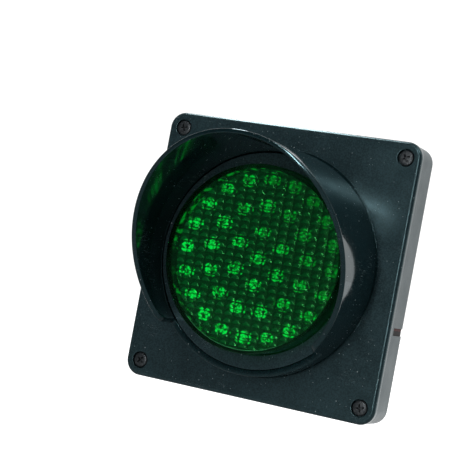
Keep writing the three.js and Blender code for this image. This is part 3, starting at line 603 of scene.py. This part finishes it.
slope = math.atan(RISE / HOOD_R * math.sin(SIDE_AT / HOOD_R))
touch = SIDE_AT - CORNER_R + CORNER_R * math.sin(slope)
centre_h = float(rim_height(touch)) - CORNER_R * math.cos(slope)
top_run = np.linspace(0, touch, 110)[:-1]
path = [np.stack([top_run, rim_height(top_run)], 1)]
turn = np.linspace(math.pi / 2 - slope, 0, 15)[:-1]
path.append(np.stack([SIDE_AT - CORNER_R + CORNER_R * np.cos(turn), centre_h + CORNER_R * np.sin(turn)], 1))
SHOULDER = COLLAR + NOTCH_R
side_run = np.linspace(centre_h, SHOULDER, 12)
path.append(np.stack([np.full_like(side_run, SIDE_AT), side_run], 1))
turn = np.linspace(math.pi, 1.5 * math.pi, 9)[1:]
path.append(np.stack([SIDE_AT + NOTCH_R + NOTCH_R * np.cos(turn), SHOULDER + NOTCH_R * np.sin(turn)], 1))
low_run = np.linspace(SIDE_AT + NOTCH_R, LOWEST, 42)[1:]
path.append(np.stack([low_run, np.full_like(low_run, COLLAR)], 1))
lengths = [len(part) for part in path]
right = np.concatenate(path)
outline = np.concatenate([right, right[1:-1][::-1] * [-1, 1]])
step_ahead, step_back = np.roll(outline, -1, 0) - outline, outline - np.roll(outline, 1, 0)
wrap = 2 * LOWEST
for step in (step_ahead, step_back):
    step[:, 0] = (step[:, 0] + wrap / 2) % wrap - wrap / 2
    step /= np.linalg.norm(step, axis=1, keepdims=True)
tangent = step_ahead + step_back
tangent /= np.linalg.norm(tangent, axis=1, keepdims=True)
inward = np.stack([tangent[:, 1], -tangent[:, 0]], 1)
inner_line = outline + inward * DEEP
hood_points, hood_faces = [], []


def add_sheet(rows, shut):
    """Adds a grid of points to the hood; shut joins its last column to the first."""
    rows = np.asarray(rows)
    filled = sum(len(points) for points in hood_points)
    hood_points.append(rows.reshape(-1, 3))
    hood_faces.append(grid_faces(rows.shape[0], rows.shape[1], shut) + filled)


eased = [(DEEP, 0.0), (0.95, 0.0)] + [(EASE * (1 - s), EASE * (1 - c)) for c, s in arc(0, 90, 7)]
band = []
for deep, across_wall in eased:
    at = outline + inward * deep
    band.append(on_wall(at[:, 0], at[:, 1], outer_radius(at[:, 1]) - across_wall))
for deep, across_wall in eased[::-1]:
    at = outline + inward * deep
    band.append(on_wall(at[:, 0], at[:, 1], inner_radius(at[:, 1]) + across_wall))
add_sheet(band, True)

upper_count = lengths[0] + lengths[1]
total = len(outline)
upper = np.concatenate([inner_line[total - upper_count:], inner_line[:upper_count + 1]])
shares = (centre_h - side_run) / (centre_h - SHOULDER)
for radius_of in (outer_radius, inner_radius):
    rows = []
    for share in shares:
        height = upper[:, 1] + (SHOULDER - upper[:, 1]) * share
        rows.append(on_wall(upper[:, 0], height, radius_of(height)))
    add_sheet(rows, False)
lower_start = upper_count + lengths[2] - 1
lower = np.concatenate([np.stack([upper[:, 0], np.full(len(upper), SHOULDER)], 1),
                        inner_line[lower_start + 1:total - lower_start]])
for radius_of in (outer_radius, inner_radius):
    rows = []
    for share in (0, 0.35, 0.7, 1.0):
        height = lower[:, 1] + (ABOVE_FOOT - lower[:, 1]) * share
        rows.append(on_wall(lower[:, 0], height, radius_of(height)))
    rows.append(on_wall(lower[:, 0], np.full(len(lower), FOOT_TOP), radius_of(FOOT_TOP)))
    add_sheet(rows, True)
foot = []
wall_r = float(outer_radius(FOOT_TOP))
bead = [(wall_r + 0.35 + BEAD_R * c, HOOD_FOOT + BEAD_R + BEAD_R * s) for c, s in arc(138, -90, 14)]
under = [(HOOD_BORE + 0.3, HOOD_FOOT), (HOOD_BORE, 0.6), (HOOD_BORE, FOOT_TOP)]
for radius, height in [(wall_r, FOOT_TOP)] + bead + under:
    foot.append(on_wall(lower[:, 0], np.full(len(lower), height), radius))
add_sheet(foot, True)
hood = mesh_piece("hood_shell", np.concatenate(hood_points), np.concatenate(hood_faces))
close_up(hood)
tracks = []
for middle in LUG_ANGLES:
    tracks.append(sector_block("track", BOSS - 1, TRACK_R, 26.7, TRACK_TOP, middle - 7, 24.5, 24))
    tracks.append(sector_block("entry", BOSS - 1, TRACK_R, 24, TRACK_TOP, middle - 14, 10.5, 12))
bored(hood, tracks)
close_up(hood)
hood_black = black_plastic("hood_black", (0.0035, 0.0120, 0.0140), 0.06, dust=0.6, grain=0.02)
hood.data.materials.clear()
hood.data.materials.append(hood_black)
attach(hood, "hood")
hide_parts("hood")

# ---- lens ---------------------------------------------------------------------------------------
# A cup of clear green polycarbonate with a flat, glossy front and a flange that the snap ring holds.
LENS_FRONT, LENS_BACK = 51.0, 48.6
LENS_BORE = 55.5
FLANGE_R, FLANGE_FOOT, FLANGE_TOP = 62.0, 31.4, 33.2
profile = [(LENS_BORE, FLANGE_FOOT), (FLANGE_R, FLANGE_FOOT), (FLANGE_R, FLANGE_TOP), (LENS_R, FLANGE_TOP),
           (LENS_R, 50.2)]
profile += [(LENS_R - 0.5 + 0.5 * c, LENS_FRONT - 0.5 + 0.5 * s) for c, s in arc(0, 90, 7)]
profile += [(LENS_R - 0.8, LENS_FRONT), (30, LENS_FRONT), (0, LENS_FRONT), (0, LENS_BACK), (30, LENS_BACK),
            (LENS_BORE - 0.2, LENS_BACK), (LENS_BORE, 48.4)]
angles = np.linspace(0, 2 * np.pi, 160, endpoint=False)
lens = ring_shell("lens_shell", [circle_ring(angles, r, d) for r, d in profile])
paint = Paint("lens_green")
tree = paint.tree
clear = tree.nodes.new("ShaderNodeBsdfTransparent")
clear.inputs["Color"].default_value = (0.55, 0.95, 0.65, 1)
gloss = tree.nodes.new("ShaderNodeBsdfGlossy")
gloss.inputs["Color"].default_value = (0.35, 0.80, 0.62, 1)
gloss.inputs["Roughness"].default_value = 0.06
fresnel = tree.nodes.new("ShaderNodeFresnel")
fresnel.inputs["IOR"].default_value = 1.5
mix = tree.nodes.new("ShaderNodeMixShader")
wire(tree, fresnel.outputs[0], mix.inputs[0])
wire(tree, clear.outputs[0], mix.inputs[1])
wire(tree, gloss.outputs[0], mix.inputs[2])
wire(tree, mix.outputs[0], tree.nodes["Material Output"].inputs["Surface"])
lens.data.materials.append(paint.material)
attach(lens, "cover")
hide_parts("lens")

# ---- lens pattern -------------------------------------------------------------------------------
# A thin green optic in the lens's cup, just in front of the LEDs: a disc of small rectangular cells, each
# with a half-moon pillow at its foot. The LEDs' light seen through it is painted on the optic as its own
# glow:
# each cell glows with the LEDs behind it spread and split, as a lens does.
CELL_W, CELL_H = 6.55, 4.5
SPREAD = 1.62
DISC_R = 55.2
PLATE, PLATE_THICK = 40.6, 0.8
WALL_TOP = 48.2
LED_PITCH = 16.3
LED_COUNTS = (6, 13, 20)
SPOT_W, SPOT_H, SPOT_RISE = 4.7, 3.5, 0.9  # half sizes of an LED's bright spot, and how far it is raised
led_places = [(0.0, 0.0)]
for ring, count in enumerate(LED_COUNTS, start=1):
    turn = np.radians(90 + 360 * np.arange(count) / count)
    led_places += list(zip(LED_PITCH * ring * np.cos(turn), LED_PITCH * ring * np.sin(turn)))
led_places = np.array(led_places)


def pillow(x, z):
    """Relief of a cell: a low crown u(1-u)v(1-v), and a half-moon pillow under a parabola on the cell's foot.
    Also gives the place u, v in the cell, 0 to 1, and whether it is in the pillow."""
    u = (x / CELL_W + 0.5) % 1.0
    v = (z / CELL_H + 0.1) % 1.0
    moon = 0.60 * (1 - ((u - 0.5) / 0.44) ** 2)
    inside = v < moon
    crown = 0.18 * (1 - (2 * u - 1) ** 2) * (1 - (2 * v - 1) ** 2)
    rise = np.where(inside, 0.34 * np.sqrt(np.clip(1 - v / np.maximum(moon, 1e-6), 0, 1)), 0.0)
    return crown + rise, u, v, inside


rows_r = np.linspace(0, DISC_R, 139)
places_t = np.linspace(0, 2 * np.pi, 560, endpoint=False)
grid_r, grid_t = np.meshgrid(rows_r, places_t, indexing="ij")
gx, gz = grid_r * np.cos(grid_t), grid_r * np.sin(grid_t)
height, u, v, inside = pillow(gx, gz)
front = np.stack([gx, -(PLATE + height), gz], -1)
wall = [(DISC_R + 0.1, PLATE + 0.4), (DISC_R + 0.12, PLATE + 3), (DISC_R + 0.12, WALL_TOP),
        (DISC_R + 0.24, WALL_TOP), (DISC_R + 0.24, PLATE - PLATE_THICK), (0.0, PLATE - PLATE_THICK)]
sheet = np.concatenate([front, np.array([circle_ring(places_t, r, d) for r, d in wall])])
pattern = mesh_piece("lens_pattern", sheet.reshape(-1, 3), grid_faces(len(sheet), len(places_t), True))

# painted light: each cell glows with what is behind it spread about the cell's middle
seen_x = gx + (SPREAD - 1) * CELL_W * (u - 0.5)
seen_z = gz + (SPREAD - 1) * CELL_H * (v - 0.5)
glow = np.zeros_like(gx)
for lx, lz in led_places:
    away = np.hypot((seen_x - lx) / SPOT_W, (seen_z - lz - SPOT_RISE) / SPOT_H)
    share = np.clip(0.5 + (1.0 - away) * 5.0, 0, 1) * (0.82 + 0.25 * np.clip(away, 0, 1) ** 2)
    # painted falloff: the LEDs' painted light grows dimmer towards the upper right
    side = 0.78 - 0.0062 * lx - 0.0046 * lz
    glow = np.maximum(glow, share * np.clip(side, 0.16, 1.1))
# painted shade in the glow: low in each cell's lower corners beside the pillow and along the cell edges
corner_dark = np.where((v < 0.52) & ~inside, 0.10, 1.0)
line = np.minimum(np.minimum(v, 1 - v) * CELL_H / 0.42, np.minimum(u, 1 - u) * CELL_W / 0.34)
line = np.clip(line, 0, 1)
glow = glow * corner_dark * (0.15 + 0.85 * line)
# painted light and shade of the cells: pillows lighter, edges darker, the whole darker towards the upper
# right
fade = 0.85 - 0.004 * gx - 0.003 * gz
painted_cell_light = (0.25 + 0.75 * line) * np.where(inside, 1.0, 0.36) * fade

# kept in an attribute: red holds the LEDs' painted light, green the cells' painted light and shade, blue
# marks the wall, which gets painted streaks of light
store = np.zeros((sheet.shape[0] * sheet.shape[1], 4), np.float32)
store[:, 3] = 1.0
store[:gx.size, 0] = glow.ravel()
store[:gx.size, 1] = painted_cell_light.ravel()
store[gx.size:, 1] = 0.12
store[gx.size:, 2] = 1.0
layer = pattern.data.color_attributes.new("lens_light", "FLOAT_COLOR", "POINT")
layer.data.foreach_set("color", store.ravel())
close_up(pattern, 60)
paint = Paint("pattern_painted_glow").set(Roughness=0.25)
held = paint.tree.nodes.new("ShaderNodeAttribute")
held.attribute_name = "lens_light"
parts = paint.tree.nodes.new("ShaderNodeSeparateColor")
paint.join(held.outputs["Color"], parts.inputs[0])
# painted sparkle: noise that breaks the LEDs' painted light into brighter and darker crinkles
painted_sparkle = paint.band(paint.noise(700, 3, 0.6), 0.40, 0.60, 0.32, 1.6)
light = paint.math("MULTIPLY", parts.outputs[0], painted_sparkle)
# painted streaks of light on the cup's wall, where blue marks it
painted_wall_streak = paint.band(paint.noise(230, 3, 0.5, squeeze=(1, 0.5, 1)), 0.53, 0.62, 0.0, 0.6)
light = paint.math("MAXIMUM", light, paint.math("MULTIPLY", painted_wall_streak, parts.outputs[2]))
# base colour from the cells' painted light and shade; the emission is the LEDs' painted light over a faint
# painted glow of the cells
paint.feed("Base Color", paint.blend(parts.outputs[1], (0.0, 0.004, 0.002), (0.0, 0.036, 0.016)))
hue = paint.blend(paint.band(light, 0.5, 1.3), (0.0, 0.30, 0.030), (0.0, 0.86, 0.15))
dim = paint.blend(parts.outputs[1], (0.0, 0.001, 0.0005), (0.0, 0.040, 0.015))
lit = paint.blend(paint.math("MINIMUM", light, 1.0), dim, hue)
paint.feed("Emission Color", lit)
paint.set(Emission_Strength=1.0)
pattern.data.materials.append(paint.material)
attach(pattern, "cover")

# ---- seals and plugs ----------------------------------------------------------------------------
# Moulded rubber: the square seal under the cover, the lens seal, the cable grommet, and the dark brown
# plug with its red-brown strip in the side entry. The snap ring that holds the lens is black plastic.
PLUG_IN, PLUG_OUT = 81.15, 85.1
ENTRY_PIECES = [("plug", "brown_rubber", -29.98, -27.02, (0.010, 0.0075, 0.0075)),
                ("seal", "red_rubber", -27.0, -25.42, (0.075, 0.018, 0.017))]


def rubber(name, base, rough=0.6):
    """Rubber: dull, a little cloudy, with a fine matt grain."""
    paint = Paint(name).set(Specular_IOR_Level=0.15)
    cloud = paint.band(paint.noise(220, 3), 0.35, 0.65)
    paint.feed("Base Color", paint.blend(cloud, tuple(0.75 * v for v in base), tuple(1.25 * v for v in base)))
    grain = paint.noise(3200, 2)
    paint.feed("Roughness", paint.band(grain, 0.3, 0.7, rough - 0.06, rough + 0.1))
    return paint.bump(grain, 0.3, 0.00004).material


def finish_node(name, material):
    """Gives a carried-over piece its material."""
    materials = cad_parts[name].data.materials
    materials.clear()
    materials.append(material)


black_rubber = rubber("rubber_black", (0.016, 0.017, 0.018))
for name in ("housing_gasket", "lens_gasket", "cable_grommet"):
    finish_node(name, black_rubber)
for name, slot, low, high, base in ENTRY_PIECES:
    piece = slab_block(f"entry_{name}", (PLUG_IN, 1.0, low), (PLUG_OUT, ENTRY_LONG - 0.02, high))
    piece.data.materials.append(rubber(f"rubber_{name}", base))
    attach(piece, "housing")
    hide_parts(f"side_entry_{name}")
finish_node("lens_retaining_ring", black_plastic("ring_black", (0.012, 0.017, 0.019), 0.4))

# ---- light engine -------------------------------------------------------------------------------
# A round glass-fibre board on four pillars carries forty green LEDs in rings; each ring stands on a
# thin spacer. Every LED is a flanged cylinder with a dome, 5 mm across, of tinted clear resin.
LED_FOOT, LED_TOP, LED_R, LED_FLANGE = 29.6, 38.2, 2.5, 2.9
SPACER_LOW, SPACER_TOP, SPACER_HALF = 28.9, 29.5, 2.5
SMALL_HEAD_R, SMALL_HEAD_HIGH, SMALL_SHANK_R = 2.75, 1.9, 1.4
dome = [(LED_R * c, LED_TOP - LED_R + LED_R * s) for c, s in arc(0, 90, 6)]
led_profile = [(0, LED_FOOT), (LED_FLANGE, LED_FOOT), (LED_FLANGE, LED_FOOT + 1), (LED_R, LED_FOOT + 1.1)]
led_profile += dome
led_turn = np.linspace(0, 2 * np.pi, 20, endpoint=False)
led_rings = np.array([circle_ring(led_turn, r, d) for r, d in led_profile])
paint = Paint("led_resin").set(Roughness=0.08, IOR=1.54)
paint.feed("Base Color", paint.blend(paint.noise(400, 2), (0.02, 0.42, 0.16), (0.05, 0.60, 0.26)))
paint.feed("Emission Color", paint.blend(paint.noise(700, 2), (0.0, 0.30, 0.08), (0.0, 0.62, 0.20)))
led_resin = paint.set(Emission_Strength=0.8).material
one = grid_faces(len(led_profile), len(led_turn), True)
count = len(led_profile) * len(led_turn)
first = 0
for ring, (name, members) in enumerate(zip(("centre", "inner", "middle", "outer"), (1,) + LED_COUNTS)):
    spots = np.array([(x, 0, z) for x, z in led_places[first:first + members]])
    first += members
    points = (led_rings[None] + spots[:, None, None]).reshape(-1, 3)
    faces = np.concatenate([one + k * count for k in range(members)])
    leds = close_up(mesh_piece(f"leds_{name}", points, faces))
    leds.data.materials.append(led_resin)
    low, high = max(LED_PITCH * ring - SPACER_HALF, 0), LED_PITCH * ring + SPACER_HALF
    strip = [(low, SPACER_LOW), (high, SPACER_LOW), (high, SPACER_TOP), (low, SPACER_TOP)]
    spacer = turned(f"led_spacer_{name}", strip, places=120)
    spacer.data.materials.append(rubber(f"spacer_{name}", (0.55, 0.56, 0.53), 0.45))
    for piece in (leds, spacer):
        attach(piece, "housing")
    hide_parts("led_centre" if name == "centre" else f"led_ring_{name}")


def laminate(name, base):
    """A lacquered board: glass weave faint under green lacquer."""
    paint = Paint(name).set(IOR=1.5)
    place = paint.tree.nodes.new("ShaderNodeTexChecker")
    place.inputs["Scale"].default_value = 1400
    paint.join(paint.where, place.inputs["Vector"])
    weave = paint.math("MULTIPLY", place.outputs["Fac"], 0.25)
    cloud = paint.band(paint.noise(90, 3), 0.3, 0.7, 0.0, 0.5)
    share = paint.math("ADD", weave, cloud)
    dark, light = tuple(0.7 * v for v in base), tuple(1.4 * v for v in base)
    paint.feed("Base Color", paint.blend(share, dark, light))
    paint.feed("Roughness", paint.band(paint.noise(500, 2), 0.3, 0.7, 0.28, 0.42))
    return paint.bump(place.outputs["Fac"], 0.15, 0.00003).material


board_green = laminate("board_green", (0.012, 0.085, 0.035))
finish_node("led_board", board_green)
finish_node("driver_board", board_green)


def steel(name, base, rough):
    """Zinc-plated steel: bright, with fine drawing marks and faint cloud."""
    paint = Paint(name).set(Metallic=1.0)
    paint.feed("Base Color", paint.blend(paint.noise(300, 3), tuple(0.8 * v for v in base), base))
    marks = paint.noise(1800, 2, squeeze=(1, 1, 8))
    paint.feed("Roughness", paint.band(marks, 0.3, 0.7, rough - 0.08, rough + 0.1))
    return paint.bump(marks, 0.2, 0.00003).material


zinc = steel("zinc_plate", (0.72, 0.72, 0.69), 0.3)
small_screws = [("board", str(k + 1), sx * PILLAR_XY, sz * PILLAR_XY, 17 + 31 * k, 28.6, 7.7)
                for k, (sx, sz) in enumerate([(1, 1), (-1, 1), (-1, -1), (1, -1)])]
small_screws += [("driver", "left", -DRIVER_X, DRIVER_Z, 25 - DRIVER_X, 8.2, 5.7),
                 ("driver", "right", DRIVER_X, DRIVER_Z, 25 + DRIVER_X, 8.2, 5.7)]
for board, end, x, z, turn, foot, length in small_screws:
    piece = screw(f"{board}_pan_screw_{end}", x, z, turn, SMALL_HEAD_R, foot, SMALL_HEAD_HIGH,
                  SMALL_SHANK_R, length, 2.8, 0.7, 32)
    piece.data.materials.append(zinc)
    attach(piece, "housing")
    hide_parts(f"{board}_screw_{end}")

# ---- driver -------------------------------------------------------------------------------------
# The small supply board along the bottom: terminal block, fuse, capacitors, rectifier, two dropper
# resistors and two leads to the socket behind the LED board. Bought-in parts in their usual finishes.
finishes = {
    "led_board_socket": ("socket_white", (0.62, 0.61, 0.56), 0.4),
    "terminal_block": ("block_grey", (0.10, 0.16, 0.13), 0.42),
    "fuse": ("fuse_brown", (0.055, 0.026, 0.014), 0.35),
    "film_capacitor": ("film_red", (0.30, 0.035, 0.025), 0.22),
    "rectifier": ("bridge_black", (0.014, 0.014, 0.015), 0.5),
    "smoothing_capacitor": ("can_blue", (0.014, 0.020, 0.055), 0.24),
    "led_lead_positive": ("lead_red", (0.34, 0.018, 0.018), 0.32),
    "led_lead_negative": ("lead_black", (0.012, 0.012, 0.013), 0.32),
}


def coated(name, base, rough, fleck=(0.5, 0.5, 0.5), share=0.0):
    """A moulded or dipped coating: slight colour drift, a soft orange-peel surface and optional flecks."""
    paint = Paint(name)
    drift = paint.band(paint.noise(260, 3), 0.3, 0.7)
    body = paint.blend(drift, tuple(0.82 * v for v in base), tuple(min(1.15 * v, 1) for v in base))
    paint.feed("Base Color", paint.blend(paint.math("MULTIPLY", paint.specks(1500, 0.2), share), body, fleck))
    paint.feed("Roughness", paint.band(paint.noise(900, 2), 0.3, 0.7, rough - 0.06, rough + 0.08))
    return paint.bump(paint.noise(700, 2), 0.2, 0.00005).material


for name, finish in finishes.items():
    finish_node(name, coated(*finish))
cement = coated("cement_grey", (0.22, 0.27, 0.24), 0.6, (0.4, 0.45, 0.42), 0.5)
for name in ("dropper_resistor_upper", "dropper_resistor_lower"):
    finish_node(name, cement)
slotted = steel("clamp_plate", (0.66, 0.64, 0.56), 0.34)
for k in (1, 2, 3):
    finish_node(f"terminal_screw_{k}", slotted)
